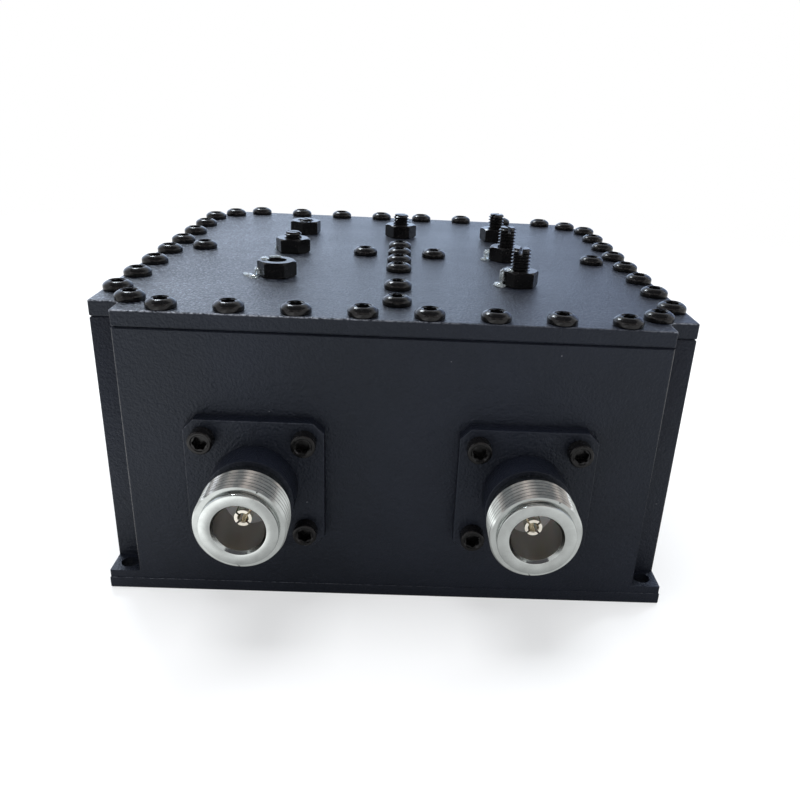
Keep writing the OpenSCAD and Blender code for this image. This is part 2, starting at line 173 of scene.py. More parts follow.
def makePaint():
    material, tree, shader = newMaterial("blackPaint")
    look = paintLook
    shader.inputs["IOR"].default_value = look["ior"]
    shader.inputs["Specular Tint"].default_value = look["tint"]
    cloud = objectNoise(tree, look["cloud"], 3)
    colour = blendColour(tree, ramp(tree, cloud, *look["cloudEdge"], 0, 1), look["dark"], look["light"])
    # a few specks of dust
    place = addNode(tree, "ShaderNodeTexCoord").outputs["Object"]
    parts = addNode(tree, "ShaderNodeSeparateXYZ", Vector=place).outputs
    cells = addNode(tree, "ShaderNodeTexVoronoi", Vector=place, Scale=look["speckCell"])
    chance = addNode(tree, "ShaderNodeSeparateColor", Color=cells.outputs["Color"]).outputs[0]
    speck = calc(tree, "MULTIPLY", calc(tree, "LESS_THAN", cells.outputs["Distance"], look["speckSize"]),
                 calc(tree, "LESS_THAN", chance, look["speckShare"]))
    colour = blendColour(tree, speck, colour, look["speck"])
    # fine dust that lies on the lid, bluish and thicker at its left, which also paints in part of the lid's
    # bluish sheen and its lighter left
    grains = objectNoise(tree, look["dustGrain"], 2, 0.6)
    grains = ramp(tree, grains, *look["dustEdge"], 0, look["dustMuch"])
    onLid = calc(tree, "GREATER_THAN", parts[2], look["dustFrom"] * mm)
    onLid = calc(tree, "MULTIPLY", onLid, ramp(tree, parts[0], *metres(look["dustAndSheenLeft"]), *look["dustAndSheenFade"]))
    colour = blendColour(tree, calc(tree, "MULTIPLY", grains, onLid), colour, look["dust"])
    # painted highlight on the upright corners, and the lid's edges painted lighter at both ends: partly wear,
    # partly painted highlight
    corner = addNode(tree, "ShaderNodeAttribute", {"attribute_name": "paintedCornerSheen"}).outputs["Fac"]
    colour = blendColour(tree, corner, colour, look["thin"])
    edge = addNode(tree, "ShaderNodeAttribute", {"attribute_name": "edgeWear"}).outputs["Fac"]
    atLeft = ramp(tree, parts[0], *metres(look["wornLeft"]), *look["wornLitLeftMuch"])
    atRight = ramp(tree, parts[0], *metres(look["wornRight"]), *look["wornLitRightMuch"])
    wornAndLit = calc(tree, "MULTIPLY", edge, calc(tree, "MAXIMUM", atLeft, atRight))
    patch = ramp(tree, objectNoise(tree, look["wornPatch"], 3, 0.6), *look["wornEdge"], 0, 1)
    colour = blendColour(tree, calc(tree, "MULTIPLY", wornAndLit, patch), colour, look["worn"])
    link(tree, colour, shader.inputs["Base Color"])
    fine = objectNoise(tree, look["grain"], 3, 0.6)
    wide = objectNoise(tree, look["orange"], 2)
    both = calc(tree, "ADD", calc(tree, "MULTIPLY", cloud, 0.5), calc(tree, "MULTIPLY", fine, 0.5))
    link(tree, ramp(tree, both, *look["cloudEdge"], *look["rough"]), shader.inputs["Roughness"])
    # cutter marks show through the paint on the corner strips
    stripEdge = metres((look["stripFrom"], look["stripFrom"] + look["stripFade"]))
    strip = ramp(tree, calc(tree, "ABSOLUTE", parts[0]), *stripEdge, 0, 1)
    marks = objectNoise(tree, look["stripPitch"], 2, 0.6, look["stripStretch"])
    relief = calc(tree, "ADD", calc(tree, "MULTIPLY", fine, look["grainBump"]),
                  calc(tree, "MULTIPLY", wide, look["orangeBump"]))
    marks = calc(tree, "MULTIPLY", calc(tree, "MULTIPLY", marks, strip), look["stripBump"])
    relief = calc(tree, "ADD", relief, marks)
    link(tree, bump(tree, relief, look["bumpMuch"], look["bumpDepth"] * mm), shader.inputs["Normal"])
    return material


oxideLook = dict(ior=1.34, dark=(0.0036, 0.0034, 0.0036, 1), worn=(0.034, 0.032, 0.031, 1),
                 pointed=(0.52, 0.60), wornMuch=0.55, patch=700, patchEdge=(0.35, 0.7), patchMuch=(0.3, 1),
                 grain=1800, grainEdge=(0.3, 0.7), rough=(0.14, 0.28), bumpMuch=0.25, bumpDepth=0.02)


def makeOxide():
    material, tree, shader = newMaterial("blackOxide")
    look = oxideLook
    shader.inputs["IOR"].default_value = look["ior"]
    patch = ramp(tree, objectNoise(tree, look["patch"], 3, 0.6), *look["patchEdge"], *look["patchMuch"])
    edge = addNode(tree, "ShaderNodeNewGeometry").outputs["Pointiness"]
    wear = calc(tree, "MULTIPLY", ramp(tree, edge, *look["pointed"], 0, look["wornMuch"]), patch)
    link(tree, blendColour(tree, wear, look["dark"], look["worn"]), shader.inputs["Base Color"])
    fine = objectNoise(tree, look["grain"], 2)
    link(tree, ramp(tree, fine, *look["grainEdge"], *look["rough"]), shader.inputs["Roughness"])
    link(tree, bump(tree, fine, look["bumpMuch"], look["bumpDepth"] * mm), shader.inputs["Normal"])
    return material


plateLook = dict(cloud=380, cloudEdge=(0.4, 0.7), grainEdge=(0.3, 0.7), bumpMuch=0.12, bumpDepth=0.01,
                 boreRough=0.2)
nickelLook = dict(plateLook, bright=(0.47, 0.495, 0.485, 1), dull=(0.40, 0.42, 0.41, 1), rough=(0.09, 0.20),
                  grain=1500, drilled=(0.44, 0.42, 0.40, 1))
silverLook = dict(plateLook, bright=(0.82, 0.79, 0.70, 1), dull=(0.70, 0.66, 0.57, 1), rough=(0.14, 0.26),
                  grain=1300, drilled=(0.55, 0.50, 0.42, 1))


def makePlate(name, look):
    material, tree, shader = newMaterial(name)
    shader.inputs["Metallic"].default_value = 1.0
    cloud = objectNoise(tree, look["cloud"], 3)
    colour = blendColour(tree, ramp(tree, cloud, *look["cloudEdge"], 0, 1), look["bright"], look["dull"])
    # the bore is drilled, not polished
    bore = addNode(tree, "ShaderNodeAttribute", {"attribute_name": "boreWall"}).outputs["Fac"]
    link(tree, blendColour(tree, bore, colour, look["drilled"]), shader.inputs["Base Color"])
    fine = objectNoise(tree, look["grain"], 3, 0.6)
    rough = ramp(tree, fine, *look["grainEdge"], *look["rough"])
    link(tree, calc(tree, "MULTIPLY_ADD", bore, look["boreRough"], rough), shader.inputs["Roughness"])
    link(tree, bump(tree, fine, look["bumpMuch"], look["bumpDepth"] * mm), shader.inputs["Normal"])
    return material


ptfeLook = dict(shade=(0.80, 0.80, 0.77, 1), light=(0.90, 0.90, 0.88, 1), cloud=600, cloudEdge=(0.3, 0.7),
                rough=(0.35, 0.5), glowThrough=0.15, glowDepth=0.5)


def makePtfe():
    material, tree, shader = newMaterial("whitePtfe")
    look = ptfeLook
    shader.inputs["Subsurface Weight"].default_value = look["glowThrough"]
    shader.inputs["Subsurface Scale"].default_value = look["glowDepth"] * mm
    cloud = objectNoise(tree, look["cloud"], 3)
    link(tree, blendColour(tree, cloud, look["shade"], look["light"]), shader.inputs["Base Color"])
    link(tree, ramp(tree, cloud, *look["cloudEdge"], *look["rough"]), shader.inputs["Roughness"])
    return material


lacquerLook = dict(ior=1.5, clear=0.75, shade=(0.62, 0.72, 0.72, 1), light=(0.92, 0.95, 0.94, 1), cloud=900,
                   cloudEdge=(0.35, 0.7), rough=(0.04, 0.16), bumpMuch=0.4, bumpDepth=0.15)


def makeLacquer():
    material, tree, shader = newMaterial("lacquer")
    look = lacquerLook
    shader.inputs["Transmission Weight"].default_value = look["clear"]
    shader.inputs["IOR"].default_value = look["ior"]
    cloud = objectNoise(tree, look["cloud"], 3)
    link(tree, blendColour(tree, cloud, look["shade"], look["light"]), shader.inputs["Base Color"])
    link(tree, ramp(tree, cloud, *look["cloudEdge"], *look["rough"]), shader.inputs["Roughness"])
    link(tree, bump(tree, cloud, look["bumpMuch"], look["bumpDepth"] * mm), shader.inputs["Normal"])
    return material


paint = makePaint()
oxide = makeOxide()
nickel = makePlate("nickelPlate", nickelLook)
silver = makePlate("silverPlate", silverLook)
ptfe = makePtfe()
lacquer = makeLacquer()
finishes = {"black_paint": paint, "black_oxide": oxide, "nickel_plate": nickel,
            "silver_plate": silver, "ptfe": ptfe}
print("finishes made:", ", ".join(m.name for m in finishes.values()))

# every carried-over CAD node takes its finish from its slot in the record
for entry in frame["record"]["subparts"]:
    slots = frame["nodes"][entry["node"]].data.materials
    slots.clear()
    slots.append(finishes[entry["material_slot"]])


# mesh helpers
weldGap = 1e-6
cutGap = 1e-7
flatAngle = 0.5


def cadCopy(*names):
    bm = bmesh.new()
    for name in names:
        bm.from_mesh(frame["nodes"][name].data)
    bmesh.ops.remove_doubles(bm, verts=bm.verts, dist=weldGap)
    bmesh.ops.dissolve_limit(bm, angle_limit=math.radians(flatAngle), verts=bm.verts, edges=bm.edges)
    return bm


def islandBoxes(name):
    bm = bmesh.new()
    bm.from_mesh(frame["nodes"][name].data)
    bmesh.ops.remove_doubles(bm, verts=bm.verts, dist=weldGap)
    waiting, boxes = set(bm.verts), []
    while waiting:
        reach, island = [waiting.pop()], []
        while reach:
            vert = reach.pop()
            island.append(vert.co.copy())
            for edge in vert.link_edges:
                other = edge.other_vert(vert)
                if other in waiting:
                    waiting.discard(other)
                    reach.append(other)
        boxes.append((Vector(map(min, *island)), Vector(map(max, *island))))
    bm.free()
    return sorted(boxes, key=lambda box: tuple(round(x, 6) for x in (*box[0], *box[1])))


def roundOff(bm, edges, width, segments=2, wear=None):
    layers = bm.verts.layers.float
    label = wear.get("layer", "edgeWear") if wear else None
    layer = (layers.get(label) or layers.new(label)) if wear else None
    made = bmesh.ops.bevel(bm, geom=list(edges), offset=width, offset_type="OFFSET", segments=segments,
                           profile=0.5, affect="EDGES", clamp_overlap=True)
    if wear:  # the middle of the rounding takes the mark above a height: edge wear with a painted highlight, or a painted highlight on the corners
        fresh = set(made["faces"])
        for vert in made["verts"]:
            if fresh.issuperset(vert.link_faces) and vert.co.z > wear["above"] * mm:
                vert[layer] = wear["much"]


def crisp(edge, degrees):
    return len(edge.link_faces) == 2 and edge.calc_face_angle(0) > math.radians(degrees)


def finishMesh(mesh, sharp):
    for face in mesh.polygons:
        face.use_smooth = True
    mesh.set_sharp_from_angle(angle=math.radians(sharp))


def makePiece(name, source, material, body=root, stands=(), sharp=15):
    if isinstance(source, bmesh.types.BMesh):
        mesh = bpy.data.meshes.new(name)
        source.to_mesh(mesh)
        source.free()
    else:
        mesh = source
        mesh.name = name
    mesh.materials.clear()
    mesh.materials.append(material)
    finishMesh(mesh, sharp)
    piece = bpy.data.objects.new(name, mesh)
    scene.collection.objects.link(piece)
    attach(piece, body)
    if stands:
        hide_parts(*stands)
    return piece


def lathe(profile, segments):
    bm = bmesh.new()
    rings = [[bm.verts.new((r * math.cos(a), r * math.sin(a), z)) for a in
              (2 * math.pi * k / segments for k in range(segments))] for r, z in profile]
    for near, far in zip(rings, rings[1:] + rings[:1]):
        for k in range(segments):
            n = (k + 1) % segments
            bm.faces.new((near[k], near[n], far[n], far[k]))
    bmesh.ops.recalc_face_normals(bm, faces=bm.faces)
    return bm


# geometry node helpers
def newTree(name, sizes):
    tree = bpy.data.node_groups.new(name, "GeometryNodeTree")
    tree.is_modifier = True
    face = tree.interface
    face.new_socket(name="Geometry", in_out="INPUT", socket_type="NodeSocketGeometry")
    for label, value in sizes.items():
        kind = {int: "NodeSocketInt", float: "NodeSocketFloat"}.get(type(value), "NodeSocketMaterial")
        face.new_socket(name=label, in_out="INPUT", socket_type=kind)
    face.new_socket(name="Geometry", in_out="OUTPUT", socket_type="NodeSocketGeometry")
    given = tree.nodes.new("NodeGroupInput").outputs
    return tree, given


def closeTree(tree, geometry, material):
    real = addNode(tree, "GeometryNodeRealizeInstances", Geometry=geometry).outputs[0]
    done = addNode(tree, "GeometryNodeSetMaterial", Geometry=real, Material=material).outputs[0]
    tree.links.new(done, tree.nodes.new("NodeGroupOutput").inputs[0])


def runTree(tree, sizes, points=((0, 0, 0),)):
    mesh = bpy.data.meshes.new("seedPoints")
    mesh.from_pydata([tuple(p) for p in points], [], [])
    holder = bpy.data.objects.new("seedPoints", mesh)
    scene.collection.objects.link(holder)
    modifier = holder.modifiers.new("nodes", "NODES")
    modifier.node_group = tree
    for item in tree.interface.items_tree:
        if item.in_out == "INPUT" and item.name in sizes:
            modifier[item.identifier] = sizes[item.name]
    holder.update_tag()
    graph = bpy.context.evaluated_depsgraph_get()
    graph.update()
    made = bpy.data.meshes.new_from_object(holder.evaluated_get(graph))
    holder.modifiers.remove(modifier)
    bpy.data.objects.remove(holder)
    return made


def turnedRows(tree, rows, segments, radius, height):
    # a grid bent round the axis: radius and height are fields of the row and the angle
    wide = calc(tree, "ADD", segments, 1)
    grid = addNode(tree, "GeometryNodeMeshGrid", Vertices_X=rows, Vertices_Y=wide).outputs[0]
    index = addNode(tree, "GeometryNodeInputIndex").outputs[0]
    row = calc(tree, "FLOOR", calc(tree, "DIVIDE", calc(tree, "ADD", index, 0.5), wide))
    share = calc(tree, "DIVIDE", calc(tree, "SUBTRACT", index, calc(tree, "MULTIPLY", row, wide)), segments)
    angle = calc(tree, "MULTIPLY", share, 2 * math.pi)
    r, z = radius(row, share), height(row, share)
    place = addNode(tree, "ShaderNodeCombineXYZ", X=calc(tree, "MULTIPLY", r, calc(tree, "COSINE", angle)),
                    Y=calc(tree, "MULTIPLY", r, calc(tree, "SINE", angle)), Z=z).outputs[0]
    bent = addNode(tree, "GeometryNodeSetPosition", Geometry=grid, Position=place).outputs[0]
    return addNode(tree, "GeometryNodeMergeByDistance", Geometry=bent, Distance=2 * weldGap).outputs[0]


def pickRow(tree, row, values):
    node = addNode(tree, "GeometryNodeIndexSwitch", {"data_type": "FLOAT"})
    while len(node.index_switch_items) < len(values):
        node.index_switch_items.new()
    link(tree, row, node.inputs[0])
    for k, value in enumerate(values):
        link(tree, value, node.inputs[k + 1])
    return node.outputs[0]


# screws: a turned head and shank with a six-lobe socket, set at every place with its own turn
lidScrewSizes = {"Head Radius": 2.75 * mm, "Head Height": 1.7 * mm, "Edge Height": 0.7 * mm,
                 "Dome Drop": 0.45 * mm, "Flat Radius": 1.68 * mm, "Foot Round": 0.2 * mm,
                 "Rim Radius": 1.62 * mm, "Rim Depth": 0.14 * mm,
                 "Shank Radius": 1.5 * mm, "Shank Length": 9.0 * mm,
                 "Socket Inner": 1.12 * mm, "Socket Outer": 1.48 * mm, "Socket Depth": 1.2 * mm,
                 "Tilt": 0.0, "Seed": 11, "Finish": oxide}
flangeScrewSizes = {"Head Radius": 2.25 * mm, "Head Height": 2.5 * mm, "Edge Height": 2.15 * mm,
                    "Dome Drop": 0.04 * mm, "Flat Radius": 1.9 * mm, "Foot Round": 0.08 * mm,
                    "Rim Radius": 1.66 * mm, "Rim Depth": 0.18 * mm,
                    "Shank Radius": 1.25 * mm, "Shank Length": 7.0 * mm,
                    "Socket Inner": 1.16 * mm, "Socket Outer": 1.48 * mm, "Socket Depth": 2.0 * mm,
                    "Tilt": math.pi / 2, "Seed": 5, "Finish": oxide}
screwForm = dict(segments=28, domeSteps=7, footTurns=(0, 30, 60, 90), lobes=6, lobeRound=0.3, lobePoints=4,
                 plugLift=0.5, sharp=32)


def screwTree():
    tree, given = newTree("socketScrews", lidScrewSizes)
    form = screwForm
    head, top, edge, flat = (given[k] for k in ("Head Radius", "Head Height", "Edge Height", "Flat Radius"))
    shank, tip = given["Shank Radius"], calc(tree, "MULTIPLY", given["Shank Length"], -1)
    sunk = calc(tree, "SUBTRACT", top, given["Rim Depth"])
    radii = [0.0, calc(tree, "SUBTRACT", given["Rim Radius"], given["Rim Depth"]), given["Rim Radius"]]
    heights = [sunk, sunk, top]
    # the dome drops away from the flat and turns down into the upright edge
    fall = calc(tree, "SUBTRACT", top, edge)
    for t in (k / form["domeSteps"] for k in range(form["domeSteps"] + 1)):
        radii.append(calc(tree, "MULTIPLY_ADD", calc(tree, "SUBTRACT", flat, head), (1 - t) ** 2, head))
        low = calc(tree, "MULTIPLY_ADD", fall, -t * t, top)
        heights.append(calc(tree, "MULTIPLY_ADD", given["Dome Drop"], -2 * t * (1 - t), low))
    foot = given["Foot Round"]
    for turn in (math.radians(k) for k in form["footTurns"]):
        radii.append(calc(tree, "MULTIPLY_ADD", foot, math.cos(turn) - 1, head))
        heights.append(calc(tree, "MULTIPLY", foot, 1 - math.sin(turn)))
    radii += [shank, shank, 0.0]
    heights += [0.0, tip, tip]
    solid = turnedRows(tree, len(radii), form["segments"], lambda row, share: pickRow(tree, row, radii),
                       lambda row, share: pickRow(tree, row, heights))
    star = addNode(tree, "GeometryNodeCurveStar", Points=form["lobes"], Inner_Radius=given["Socket Inner"],
                   Outer_Radius=given["Socket Outer"]).outputs[0]
    soft = addNode(tree, "GeometryNodeFilletCurve", {"mode": "POLY"}, Curve=star, Count=form["lobePoints"],
                   Radius=form["lobeRound"] * mm, Limit_Radius=True).outputs[0]
    sheet = addNode(tree, "GeometryNodeFillCurve", {"mode": "NGONS"}, Curve=soft).outputs[0]
    lift = addNode(tree, "ShaderNodeCombineXYZ", Z=1.0).outputs[0]
    deep = calc(tree, "ADD", given["Socket Depth"], form["plugLift"] * mm)
    prism = addNode(tree, "GeometryNodeExtrudeMesh", Mesh=sheet, Offset=lift, Offset_Scale=deep,
                    Individual=False)
    floor = addNode(tree, "GeometryNodeFlipFaces", Mesh=sheet).outputs[0]
    plug = addNode(tree, "GeometryNodeJoinGeometry")
    tree.links.new(prism.outputs[0], plug.inputs[0])
    tree.links.new(floor, plug.inputs[0])
    plug = addNode(tree, "GeometryNodeMergeByDistance", Geometry=plug.outputs[0], Distance=weldGap).outputs[0]
    bottom = calc(tree, "SUBTRACT", top, given["Socket Depth"])
    down = addNode(tree, "ShaderNodeCombineXYZ", Z=bottom).outputs[0]
    plug = addNode(tree, "GeometryNodeTransform", Geometry=plug, Translation=down).outputs[0]
    cut = addNode(tree, "GeometryNodeMeshBoolean", {"operation": "DIFFERENCE", "solver": "EXACT"})
    tree.links.new(solid, cut.inputs[0])
    tree.links.new(plug, cut.inputs[1])
    spin = addNode(tree, "FunctionNodeRandomValue", {"data_type": "FLOAT"}, Seed=given["Seed"])
    spin.inputs[3].default_value = 2 * math.pi / form["lobes"]
    lean = addNode(tree, "FunctionNodeEulerToRotation",
                   Euler=addNode(tree, "ShaderNodeCombineXYZ", X=given["Tilt"]).outputs[0]).outputs[0]
    turn = addNode(tree, "FunctionNodeEulerToRotation",
                   Euler=addNode(tree, "ShaderNodeCombineXYZ", Z=spin.outputs[1]).outputs[0]).outputs[0]
    both = addNode(tree, "FunctionNodeRotateRotation", {"rotation_space": "LOCAL"}, Rotation=lean,
                   Rotate_By=turn)
    points = addNode(tree, "GeometryNodeMeshToPoints", Mesh=given["Geometry"]).outputs[0]
    laid = addNode(tree, "GeometryNodeInstanceOnPoints", Points=points, Instance=cut.outputs[0],
                   Rotation=both.outputs[0]).outputs[0]
    closeTree(tree, laid, given["Finish"])
    return tree


screws = screwTree()
lidScrewNodes = ("edge_screws", "corner_screws", "septum_screws", "window_screws")
lidPlaces = []
for nodeName in lidScrewNodes:
    for low, high in islandBoxes(nodeName):
        lidPlaces.append(((low.x + high.x) / 2, (low.y + high.y) / 2,
                          high.z - lidScrewSizes["Head Height"]))
makePiece("lidScrews", runTree(screws, lidScrewSizes, lidPlaces), oxide,
          stands=lidScrewNodes, sharp=screwForm["sharp"])
flangeScrewNodes = ("flange_screws_left", "flange_screws_right")
flangePlaces = []
for nodeName in flangeScrewNodes:
    for low, high in islandBoxes(nodeName):
        flangePlaces.append(((low.x + high.x) / 2, low.y + flangeScrewSizes["Head Height"],
                             (low.z + high.z) / 2))
makePiece("flangeScrews", runTree(screws, flangeScrewSizes, flangePlaces), oxide,
          stands=flangeScrewNodes, sharp=screwForm["sharp"])
print("screws set:", len(lidPlaces), "on the lid,", len(flangePlaces), "on the flanges")

# threads: rows of a grid that climb with the angle
tuningThread = {"Outer Radius": 2.0 * mm, "Core Radius": 0.0, "Depth": 0.39 * mm, "Pitch": 0.7 * mm,
                "Length": 20.0 * mm, "End Taper": 0.42 * mm, "Turns": 31, "Segments": 24,
                "Slot Width": 0.7 * mm, "Slot Depth": 1.1 * mm, "Slot Turn": 0.0, "Finish": oxide}
portThread = {"Outer Radius": 7.94 * mm, "Core Radius": 6.6 * mm, "Depth": 0.57 * mm, "Pitch": 1.058 * mm,
              "Length": 6.2 * mm, "End Taper": 0.3 * mm, "Turns": 8, "Segments": 96,
              "Slot Width": 0.0, "Slot Depth": 0.0, "Slot Turn": 0.0, "Finish": nickel}
threadRows = [0.0, 0.125, 0.4375, 0.6875]  # two rows of crest and two of root, in shares of a pitch
threadSharp = 40


def threadTree():
    tree, given = newTree("turnedThread", tuningThread)
    outer, core, pitch, length = (given[k] for k in ("Outer Radius", "Core Radius", "Pitch", "Length"))
    perTurn = len(threadRows)
    rows = calc(tree, "MULTIPLY", given["Turns"], perTurn)
    rootRadius = calc(tree, "SUBTRACT", outer, given["Depth"])
    endRadius = calc(tree, "SUBTRACT", outer, given["End Taper"])

    def turnAndPart(row):
        step = calc(tree, "SUBTRACT", row, 1)
        turn = calc(tree, "FLOOR", calc(tree, "DIVIDE", step, perTurn))
        return turn, calc(tree, "SUBTRACT", step, calc(tree, "MULTIPLY", turn, perTurn))

    def onThread(row):
        return calc(tree, "MULTIPLY", calc(tree, "GREATER_THAN", row, 0.5),
                    calc(tree, "LESS_THAN", row, calc(tree, "ADD", rows, 0.5)))

    def height(row, share):
        turn, part = turnAndPart(row)
        climb = calc(tree, "ADD", calc(tree, "ADD", turn, pickRow(tree, part, threadRows)), share)
        climb = calc(tree, "SUBTRACT", climb, 1)
        z = calc(tree, "MINIMUM", calc(tree, "MAXIMUM", calc(tree, "MULTIPLY", climb, pitch), 0), length)
        atTop = calc(tree, "COMPARE", row, calc(tree, "ADD", rows, 1), 0.1)
        z = calc(tree, "MULTIPLY", onThread(row), z)
        return calc(tree, "ADD", z, calc(tree, "MULTIPLY", atTop, length))

    def radius(row, share):
        crest = calc(tree, "LESS_THAN", turnAndPart(row)[1], 1.5)
        r = calc(tree, "ADD", rootRadius, calc(tree, "MULTIPLY", crest, given["Depth"]))
        z = height(row, share)
        r = calc(tree, "MINIMUM", r, calc(tree, "ADD", endRadius, z))
        r = calc(tree, "MINIMUM", r, calc(tree, "ADD", endRadius, calc(tree, "SUBTRACT", length, z)))
        return calc(tree, "ADD", core, calc(tree, "MULTIPLY", onThread(row), calc(tree, "SUBTRACT", r, core)))

    solid = turnedRows(tree, calc(tree, "ADD", rows, 3), given["Segments"], radius, height)
    solid = addNode(tree, "GeometryNodeFlipFaces", Mesh=solid).outputs[0]
    size = addNode(tree, "ShaderNodeCombineXYZ", X=calc(tree, "MULTIPLY", outer, 3), Y=given["Slot Width"],
                   Z=calc(tree, "MULTIPLY", given["Slot Depth"], 2)).outputs[0]
    box = addNode(tree, "GeometryNodeMeshCube", Size=size).outputs[0]
    lift = addNode(tree, "ShaderNodeCombineXYZ", Z=length).outputs[0]
    turn = addNode(tree, "ShaderNodeCombineXYZ", Z=given["Slot Turn"]).outputs[0]
    box = addNode(tree, "GeometryNodeTransform", Geometry=box, Translation=lift, Rotation=turn).outputs[0]
    cut = addNode(tree, "GeometryNodeMeshBoolean", {"operation": "DIFFERENCE", "solver": "EXACT"})
    tree.links.new(solid, cut.inputs[0])
    tree.links.new(box, cut.inputs[1])
    choice = addNode(tree, "GeometryNodeSwitch", {"input_type": "GEOMETRY"})
    tree.links.new(calc(tree, "GREATER_THAN", given["Slot Width"], 0), choice.inputs[0])
    tree.links.new(solid, choice.inputs[1])
    tree.links.new(cut.outputs[0], choice.inputs[2])
    closeTree(tree, choice.outputs[0], given["Finish"])
    return tree


threads = threadTree()
slotTurns = {"tuning_screw_front_left": 20, "tuning_screw_front_right": 75, "tuning_screw_back_left": 130,
             "tuning_screw_back_right": 50, "coupling_screw_left": 160, "coupling_screw_right": 100,
             "coupling_screw_back": 35}
for nodeName, degrees in slotTurns.items():
    low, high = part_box(nodeName)
    sizes = dict(tuningThread, **{"Slot Turn": math.radians(degrees), "Length": high.z - low.z})
    mesh = runTree(threads, sizes)
    mesh.transform(Matrix.Translation(((low.x + high.x) / 2, (low.y + high.y) / 2, low.z)))
    words = nodeName.split("_")
    pieceName = words[0] + "".join(w.title() for w in words[1:])
    makePiece(pieceName, mesh, oxide, nodeName, (nodeName,), threadSharp)
print("tuning screws threaded:", len(slotTurns))

# ports: painted flange and barrel, bare plated thread and mouth
portSizes = dict(panelY=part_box("lid")[0].y, barrelEnd=8.6)


def portPlace(side):
    low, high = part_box("contact_" + side)
    return Matrix.Translation(((low.x + high.x) / 2, portSizes["panelY"], (low.z + high.z) / 2)) \
        @ Matrix.Rotation(math.pi / 2, 4, "X")


# the flange edges carry a faint mark: edge wear with a painted highlight
flangeSizes = dict(half=11.3, start=1.0, barrel=7.9, barrelStart=8, overlap=0.05, crisp=40, hair=0.02,
                   round=0.22, wear=dict(above=35, much=0.1))


def paintedFlange(side):
    s = flangeSizes
    bm = cadCopy("port_shell_" + side)
    cutY = portSizes["panelY"] - (portSizes["barrelEnd"] + s["overlap"]) * mm
    everything = bm.verts[:] + bm.edges[:] + bm.faces[:]
    bmesh.ops.bisect_plane(bm, geom=everything, plane_co=(0, cutY, 0), plane_no=(0, -1, 0), clear_outer=True,
                           dist=cutGap)
    rim = [e for e in bm.edges if e.is_boundary]
    bmesh.ops.bridge_loops(bm, edges=rim)
    bmesh.ops.recalc_face_normals(bm, faces=bm.faces)
    place = portPlace(side).inverted()

    def onSquare(spot):
        return max(abs(spot.x), abs(spot.y)) > s["half"] * mm and spot.z > s["start"] * mm

    def onBarrel(spot):
        away = abs(math.hypot(spot.x, spot.y) - s["barrel"] * mm)
        return away < s["hair"] * mm and spot.z > s["barrelStart"] * mm

    def outline(edge):
        spots = [place @ v.co for v in edge.verts]
        return crisp(edge, s["crisp"]) and (all(map(onSquare, spots)) or all(map(onBarrel, spots)))

    edges = [e for e in bm.edges if outline(e)]
    roundOff(bm, edges, s["round"] * mm, wear=s["wear"])
    return makePiece("portFlange" + side.title(), bm, paint, stands=("port_shell_" + side,))


mouthSizes = dict(neck=7.1, threadStart=11.6, threadEnd=17.8, tuck=0.1, core=6.9, collar=6.75, groove=0.08,
                  grooveBack=0.3, grooveFront=0.12, grooveEnd=0.2, face=18.8, lip=0.22, lipShare=0.3,
                  mouth=4.7, mouthDepth=0.6, mouthEdge=((0.12, 0), (0, 0.05), (-0.08, 0.18)),
                  bore=4.3, throatEdge=((0.06, 0), (0, 0.1)), boreGap=0.05, segments=96, sharp=28)


def platedThread(side):
    s = mouthSizes
    start, end, face, lip = s["threadStart"], s["threadEnd"], s["face"], s["lip"]
    back = portSizes["barrelEnd"]
    groove, belly = s["collar"] - s["groove"], s["lipShare"] * lip
    profile = [(s["neck"], back), (s["neck"], start + s["tuck"]), (s["core"], start + s["tuck"]),
               (s["core"], end - s["grooveBack"]), (groove, end - s["grooveBack"]),
               (groove, end + s["grooveFront"]), (s["collar"], end + s["grooveEnd"]),
               (s["collar"], face - lip), (s["collar"] - belly, face - belly), (s["collar"] - lip, face)]
    profile += [(s["mouth"] + out, face - down) for out, down in s["mouthEdge"]]
    profile += [(s["bore"] + out, face - s["mouthDepth"] - down) for out, down in s["throatEdge"]]
    profile.append((s["bore"], back))
    bm = lathe([(r * mm, z * mm) for r, z in profile], s["segments"])
    layer = bm.verts.layers.float.new("boreWall")
    for vert in bm.verts:
        vert[layer] = float(math.hypot(vert.co.x, vert.co.y) < (s["bore"] + s["boreGap"]) * mm)
    ring = runTree(threads, portThread)
    ring.transform(Matrix.Translation((0, 0, start * mm)))
    bm.from_mesh(ring)
    bmesh.ops.transform(bm, matrix=portPlace(side), verts=bm.verts)
    return makePiece("portThread" + side.title(), bm, nickel, stands=("port_shell_" + side,),
                     sharp=s["sharp"])


contactSizes = dict(pinHole=0.95, pinLead=0.14, crisp=50, edge=0.05)


def slottedContact(side):
    s = contactSizes
    bm = cadCopy("contact_" + side)
    centre, tip = portPlace(side).translation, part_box("contact_" + side)[0].y

    def atHole(vert):
        across = math.hypot(vert.co.x - centre.x, vert.co.z - centre.z)
        return abs(vert.co.y - tip) < weldGap and across < s["pinHole"] * mm

    rim = [e for e in bm.edges if crisp(e, s["crisp"]) and all(map(atHole, e.verts))]
    roundOff(bm, rim, s["pinLead"] * mm, 1)
    roundOff(bm, [e for e in bm.edges if crisp(e, s["crisp"])], s["edge"] * mm, 1)
    return makePiece("contact" + side.title(), bm, silver, stands=("contact_" + side,))


for side in ("left", "right"):
    paintedFlange(side)
    platedThread(side)
    slottedContact(side)
print("ports turned")

